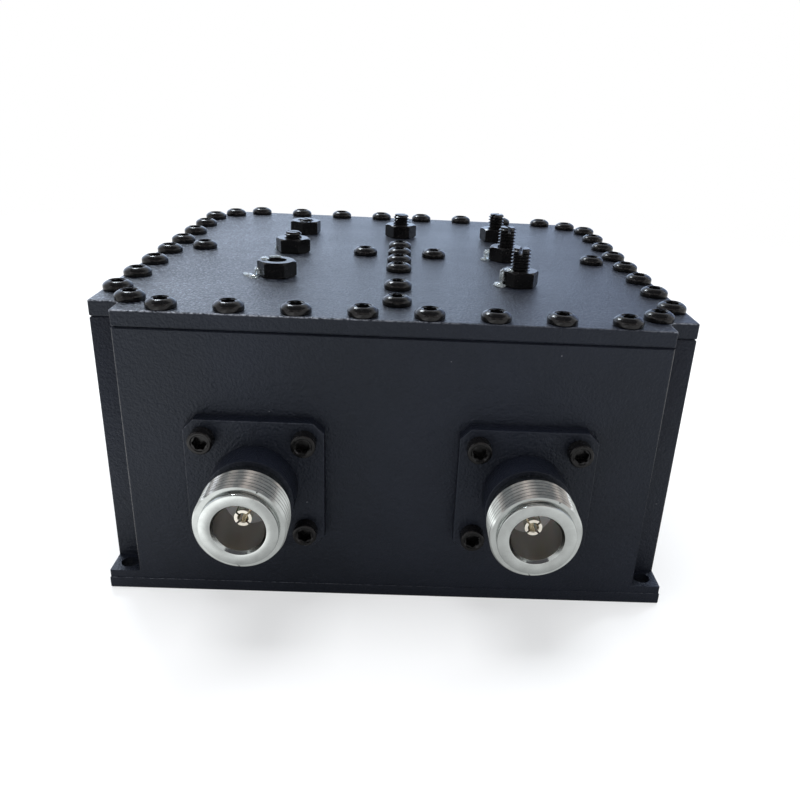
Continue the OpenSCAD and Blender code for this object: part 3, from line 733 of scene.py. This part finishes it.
# housing and lid: the CAD shapes with their outer edges broken
caseSizes = dict(skin=48.7, crisp=60, edge=0.28, lidEdge=0.36, bandTop=2.4, bandEdge=0.1, hair=0.02,
                 screwClear=2.3, portClear=15.0, seamHeight=0.36, seamDepth=0.4, level=0.99, upright=0.1,
                 cornerRound=0.42, cornerFrom=4.1, cornerLength=2.0, cornerRise=0.6, footTop=3.9,
                 # cornerWear is a painted highlight on the upright corners; the band, housing and lid marks
                 # are edge wear with a painted highlight
                 cornerWear=dict(above=0, much=1.0, layer="paintedCornerSheen"), bandWearAndHighlight=dict(above=0, much=0.3),
                 housingWearAndHighlight=dict(above=0, much=0.05), housingShortest=1.0,
                 lidWearAndHighlight=dict(above=56.5, much=0.9), lidShortest=0.1, loopDrop=0.05, sharp=12)


def nearScrew(spot):
    return any(math.hypot(spot.x - x, spot.y - y) < caseSizes["screwClear"] * mm for x, y, z in lidPlaces)


def addLoop(bm, height):
    bmesh.ops.bisect_plane(bm, geom=bm.verts[:] + bm.edges[:] + bm.faces[:], dist=cutGap,
                           plane_co=(0, 0, height), plane_no=(0, 0, 1))


def leanIn(bm, top):
    # the walls lean in just under the lid, which leaves a dark seam
    s = caseSizes

    def onRim(spot):
        outside = max(abs(spot.x), abs(spot.y)) > s["skin"] * mm
        return abs(spot.z - top) < weldGap and outside and not nearScrew(spot)

    stray = [v for v in bm.verts if onRim(v.co) and all(abs(f.normal.z) > s["level"] for f in v.link_faces)]
    bmesh.ops.dissolve_verts(bm, verts=stray)
    addLoop(bm, top - s["seamHeight"] * mm)
    moves = []
    for vert in bm.verts:
        walls = [f.normal.copy() for f in vert.link_faces if abs(f.normal.z) < s["upright"]]
        if walls and onRim(vert.co):
            first, last = walls[0], walls[-1]
            moves.append((vert, (first + last) / (1 + first.dot(last))))
    for vert, outward in moves:
        vert.co -= outward * s["seamDepth"] * mm


def brokenEdges(name, node, wear, shortest):
    bm = cadCopy(node)
    s = caseSizes
    ports = [portPlace(side).translation for side in ("left", "right")]

    def outer(edge):
        spots = [v.co for v in edge.verts]
        if not crisp(edge, s["crisp"]) or not edge.is_convex or edge.calc_length() < shortest * mm:
            return False
        if any(max(abs(p.x), abs(p.y)) < s["skin"] * mm for p in spots):
            return False
        middle = (spots[0] + spots[1]) / 2
        if nearScrew(middle):
            return False
        clear = all(math.hypot(middle.x - p.x, middle.z - p.z) > s["portClear"] * mm for p in ports)
        return clear or middle.y > 0

    def upright(edge):
        first, last = (v.co for v in edge.verts)
        length = (first - last).length
        return length > s["cornerLength"] * mm and max(first.z, last.z) > s["cornerFrom"] * mm \
            and abs(first.z - last.z) > s["cornerRise"] * length

    def onBand(vert):
        return abs(vert.co.z - s["bandTop"] * mm) < s["hair"] * mm

    def atSide(vert):
        return max(abs(vert.co.x), abs(vert.co.y)) > cadBox[1][0] - s["hair"] * mm

    if node == "housing":
        roundOff(bm, [e for e in bm.edges if outer(e) and upright(e)], s["cornerRound"] * mm, 3,
                 wear=s["cornerWear"])
        leanIn(bm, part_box("lid")[0].z)
    if wear["above"]:  # a loop just under the marked edge keeps its wear and painted highlight from running down the corners
        addLoop(bm, (wear["above"] - s["loopDrop"]) * mm)
    picked = [e for e in bm.edges if outer(e)]
    band = [e for e in picked if any(map(onBand, e.verts))]
    ledge = [e for e in band if all(onBand(v) and atSide(v) for v in e.verts)]
    others = set(picked) - set(band)
    if node == "housing":  # above the foot only the uprights are rounded
        others = {e for e in others if max(v.co.z for v in e.verts) < s["footTop"] * mm}
    roundOff(bm, others, s["lidEdge" if node == "lid" else "edge"] * mm, wear=wear)
    roundOff(bm, [e for e in ledge if e.is_valid], s["bandEdge"] * mm, wear=s["bandWearAndHighlight"])
    return makePiece(name, bm, paint, stands=(node,), sharp=s["sharp"])


brokenEdges("housingShell", "housing", caseSizes["housingWearAndHighlight"], caseSizes["housingShortest"])
brokenEdges("lidPlate", "lid", caseSizes["lidWearAndHighlight"], caseSizes["lidShortest"])
nutSizes = dict(edge=0.07, crisp=35)
nutPlaces = ("front_left", "front_right", "back_left", "back_right", "left", "right", "back")
nuts = ["lock_nut_" + n for n in nutPlaces]
nutCopy = cadCopy(*nuts)
roundOff(nutCopy, [e for e in nutCopy.edges if crisp(e, nutSizes["crisp"])], nutSizes["edge"] * mm)
makePiece("lockNuts", nutCopy, oxide, stands=nuts)
print("housing, lid and nuts dressed")

# dabs of clear lacquer that lock the nuts: centre, half sizes, turn in degrees
dabLook = dict(rough=0.35, pattern=1.8, patternStep=7.3, fineness=4, balls=[
    ((-30.1, -26.3, 57.0), (2.7, 0.85, 0.5), -54), ((-28.9, -25.2, 57.7), (0.6, 1.1, 0.9), 20),
    ((-27.5, -24.3, 60.2), (0.8, 1.3, 0.32), 15), ((-25.6, -22.2, 60.2), (1.2, 0.5, 0.3), 10),
    ((20.8, -26.2, 57.1), (1.0, 1.5, 0.6), 25), ((21.3, -25.5, 58.7), (0.45, 1.3, 1.5), 8),
    ((22.6, -25.7, 60.2), (0.7, 1.6, 0.35), 12), ((20.7, 0.4, 58.0), (0.9, 1.3, 1.2), 10),
    ((19.9, -0.6, 57.1), (0.8, 0.9, 0.4), 0), ((-28.8, 0.8, 57.5), (0.45, 0.9, 0.7), -6)])


def lacquerDabs():
    bm = bmesh.new()
    for count, (centre, half, turn) in enumerate(dabLook["balls"]):
        ball = bmesh.ops.create_icosphere(bm, subdivisions=dabLook["fineness"], radius=1.0)["verts"]
        shift = Vector((count * dabLook["patternStep"], 0, 0))
        for vert in ball:
            vert.co *= 1 + dabLook["rough"] * noise.noise(vert.co * dabLook["pattern"] + shift)
        shape = Matrix.Translation(Vector(centre) * mm) @ Matrix.Rotation(math.radians(turn), 4, "Z") \
            @ Matrix.Diagonal((*(h * mm for h in half), 1))
        bmesh.ops.transform(bm, matrix=shape, verts=ball)
    return makePiece("lacquerDabs", bm, lacquer, sharp=180)


lacquerDabs()
print("nuts locked with", len(dabLook["balls"]), "dabs")

# stage: lengths in metres
floorLook = dict(half=3.0, white=0.92, lift=(0.55, 1.0), fade=(0.12, 0.45), footFade=(0.055, 0.108),
                 footShade=(0.2, 1.0), sideFade=(0.02, 0.08), sideShade=(0.8, 1.15),
                 glowNear=(-0.055, -0.03), glowFar=(-0.14, -0.10), glowMuch=1.0)


def floorMaterial():
    look = floorLook
    material, tree = bareMaterial("paleFloor")
    matt = addNode(tree, "ShaderNodeBsdfDiffuse", Color=(look["white"], look["white"], look["white"], 1))
    glow = addNode(tree, "ShaderNodeEmission", Color=(1, 1, 1, 1))
    place = addNode(tree, "ShaderNodeTexCoord").outputs["Object"]
    parts = addNode(tree, "ShaderNodeSeparateXYZ", Vector=place).outputs
    # the floor runs out into white
    far = addNode(tree, "ShaderNodeVectorMath", {"operation": "LENGTH"}, Vector=place).outputs["Value"]
    lift = ramp(tree, far, *look["fade"], *look["lift"])
    # reflections see painted shade at the foot and along the middle, and a painted light strip at the left
    across = calc(tree, "ABSOLUTE", parts[0])
    foot = calc(tree, "MAXIMUM", across, calc(tree, "ABSOLUTE", parts[1]))
    shade = ramp(tree, foot, *look["footFade"], *look["footShade"])
    side = ramp(tree, across, *look["sideFade"], *look["sideShade"])
    patch = calc(tree, "MULTIPLY", ramp(tree, parts[0], *look["glowNear"], 1, 0),
                 ramp(tree, parts[0], *look["glowFar"], 0, 1))
    side = calc(tree, "MULTIPLY_ADD", patch, look["glowMuch"], side)
    rays = addNode(tree, "ShaderNodeLightPath").outputs
    seen = calc(tree, "MAXIMUM", rays["Is Camera Ray"], rays["Is Transmission Ray"])
    darker = calc(tree, "SUBTRACT", calc(tree, "MULTIPLY", shade, side), 1)
    mirrored = calc(tree, "MULTIPLY", rays["Is Glossy Ray"], darker)
    link(tree, calc(tree, "ADD", mirrored, 1), glow.inputs["Strength"])
    share = calc(tree, "MAXIMUM", calc(tree, "MULTIPLY", seen, lift), rays["Is Glossy Ray"])
    mix = addNode(tree, "ShaderNodeMixShader", Fac=share)
    tree.links.new(matt.outputs[0], mix.inputs[1])
    tree.links.new(glow.outputs[0], mix.inputs[2])
    closeMaterial(tree, mix.outputs[0])
    return material


def makeFloor():
    mesh = bpy.data.meshes.new("floor")
    h = floorLook["half"]
    mesh.from_pydata([(-h, -h, 0), (h, -h, 0), (h, h, 0), (-h, h, 0)], [], [(0, 1, 2, 3)])
    mesh.materials.append(floorMaterial())
    floor = bpy.data.objects.new("floor", mesh)
    scene.collection.objects.link(floor)


worldLook = dict(level=0.6, tint=(0.90, 0.95, 1.0, 1))


def makeWorld():
    # plain white to the eye and in reflections, a softer cool light on the part
    world = bpy.data.worlds.new("studio")
    scene.world = world
    world.use_nodes = True
    tree = world.node_tree
    tree.nodes.clear()
    rays = addNode(tree, "ShaderNodeLightPath").outputs
    sight = calc(tree, "MAXIMUM", rays["Is Camera Ray"], rays["Is Glossy Ray"])
    sight = calc(tree, "MAXIMUM", sight, rays["Is Transmission Ray"])
    soft = addNode(tree, "ShaderNodeBackground", Color=worldLook["tint"], Strength=worldLook["level"])
    clear = addNode(tree, "ShaderNodeBackground", Color=(1, 1, 1, 1), Strength=1.0)
    mix = addNode(tree, "ShaderNodeMixShader", Fac=sight)
    tree.links.new(soft.outputs[0], mix.inputs[1])
    tree.links.new(clear.outputs[0], mix.inputs[2])
    tree.links.new(mix.outputs[0], tree.nodes.new("ShaderNodeOutputWorld").inputs[0])


def layCard(name, material, spots, faces):
    # a card that only reflections see
    mesh = bpy.data.meshes.new(name)
    mesh.from_pydata(spots, [], faces)
    mesh.materials.append(material)
    card = bpy.data.objects.new(name, mesh)
    scene.collection.objects.link(card)
    card.visible_camera = card.visible_shadow = card.visible_diffuse = False


def curvedCard(name, material, look, facing, halfSteps=16):
    # facing is -1 on the camera's side and 1 behind
    sweep, radius = look["sweep"], look["radius"]
    steps = [math.radians(-sweep + k * sweep / halfSteps) for k in range(2 * halfSteps + 1)]
    spots = [(radius * math.sin(a), facing * radius * math.cos(a), z)
             for a in steps for z in (look["low"], look["high"])]
    layCard(name, material, spots, [(2 * k, 2 * k + 2, 2 * k + 3, 2 * k + 1) for k in range(2 * halfSteps)])


warmLook = dict(radius=0.7, low=0.10, high=0.85, sweep=62, dark=(0.2, 0.195, 0.195, 1),
                warm=(0.74, 0.62, 0.56, 1), patch=5.0, patchEdge=(0.42, 0.6), rough=0.9)


def warmCard():
    # a room's uneven warm and dark, in front
    look = warmLook
    material, tree, shader = newMaterial("warmCard")
    patch = ramp(tree, objectNoise(tree, look["patch"], 1), *look["patchEdge"], 0, 1)
    link(tree, blendColour(tree, patch, look["dark"], look["warm"]), shader.inputs["Base Color"])
    shader.inputs["Roughness"].default_value = look["rough"]
    shader.inputs["Specular IOR Level"].default_value = 0.0
    curvedCard("warmCard", material, look, -1)


coolLook = dict(radius=0.75, low=0.0, high=0.6, sweep=65, left=(1.54, 1.75, 2.13, 1),
                middle=(1.34, 1.65, 2.15, 1), right=(0.51, 0.645, 0.99, 1), leftFade=(-0.35, 0),
                rightFade=(0.05, 0.35), rise=(0.14, 0.32), riseFade=(1.05, 0.84))


def coolCard():
    # pale behind the left of the lid, cooler in the middle, darker on the right and above
    look = coolLook
    material, tree = bareMaterial("coolCard")
    place = addNode(tree, "ShaderNodeTexCoord").outputs["Object"]
    parts = addNode(tree, "ShaderNodeSeparateXYZ", Vector=place).outputs
    shade = blendColour(tree, ramp(tree, parts[0], *look["leftFade"], 0, 1), look["left"], look["middle"])
    shade = blendColour(tree, ramp(tree, parts[0], *look["rightFade"], 0, 1), shade, look["right"])
    strength = ramp(tree, parts[2], *look["rise"], *look["riseFade"])
    glow = addNode(tree, "ShaderNodeEmission", Color=shade, Strength=strength).outputs[0]
    closeMaterial(tree, glow)
    curvedCard("coolCard", material, look, 1)


hoodLook = dict(dark=(0.12, 0.115, 0.125, 1), half=0.6, front=-0.58, back=0.34, height=0.8)


def darkHood():
    # the dark of the room overhead, which the screw heads mirror
    look = hoodLook
    material, tree = bareMaterial("darkHood")
    glow = addNode(tree, "ShaderNodeEmission", Color=look["dark"], Strength=1.0).outputs[0]
    closeMaterial(tree, glow)
    wide, front, back, z = look["half"], look["front"], look["back"], look["height"]
    spots = [(-wide, front, z), (wide, front, z), (wide, back, z), (-wide, back, z)]
    layCard("darkHood", material, spots, [(3, 2, 1, 0)])


# softboxes: width and height in size; the ceiling lamps leave no glint
coolTint, paleTint, clearTint = (0.85, 0.93, 1.0), (0.93, 0.93, 1.0), (0.97, 0.98, 1.0)
lampAim = Vector((0, 0, 0.03))
softboxes = [
    dict(name="backLeftLamp", place=(-0.31, 0.52, 0.72), size=(0.16, 0.16), watts=3.2, tint=coolTint),
    dict(name="backRightLamp", place=(0.65, 0.45, 0.40), size=(0.16, 0.16), watts=2.6, tint=coolTint),
    dict(name="leftSoftbox", place=(-0.5, -0.42, 0.3), size=(0.2, 0.5), watts=0.45, tint=paleTint),
    dict(name="rightSoftbox", place=(0.55, -0.38, 0.3), size=(0.1, 0.5), watts=0.25, tint=paleTint),
    dict(name="ceilingLamp", place=(-0.10, 0.0, 0.8), size=(0.4, 0.4), watts=4.0, tint=clearTint,
         glint=False),
    dict(name="ceilingLampBack", place=(0.2, 0.3, 0.8), size=(0.3, 0.3), watts=2.0, tint=clearTint,
         glint=False)]


def makeLights():
    for box in softboxes:
        data = bpy.data.lights.new(box["name"], "AREA")
        data.shape, data.size, data.size_y = "RECTANGLE", *box["size"]
        data.energy, data.color = box["watts"], box["tint"]
        lamp = bpy.data.objects.new(box["name"], data)
        scene.collection.objects.link(lamp)
        lamp.visible_glossy = box.get("glint", True)
        lamp.location = box["place"]
        lamp.rotation_euler = (lampAim - Vector(box["place"])).to_track_quat("-Z", "Y").to_euler()


makeFloor()
makeWorld()
warmCard()
coolCard()
darkHood()
makeLights()
print("stage lit by", len(softboxes), "softboxes")
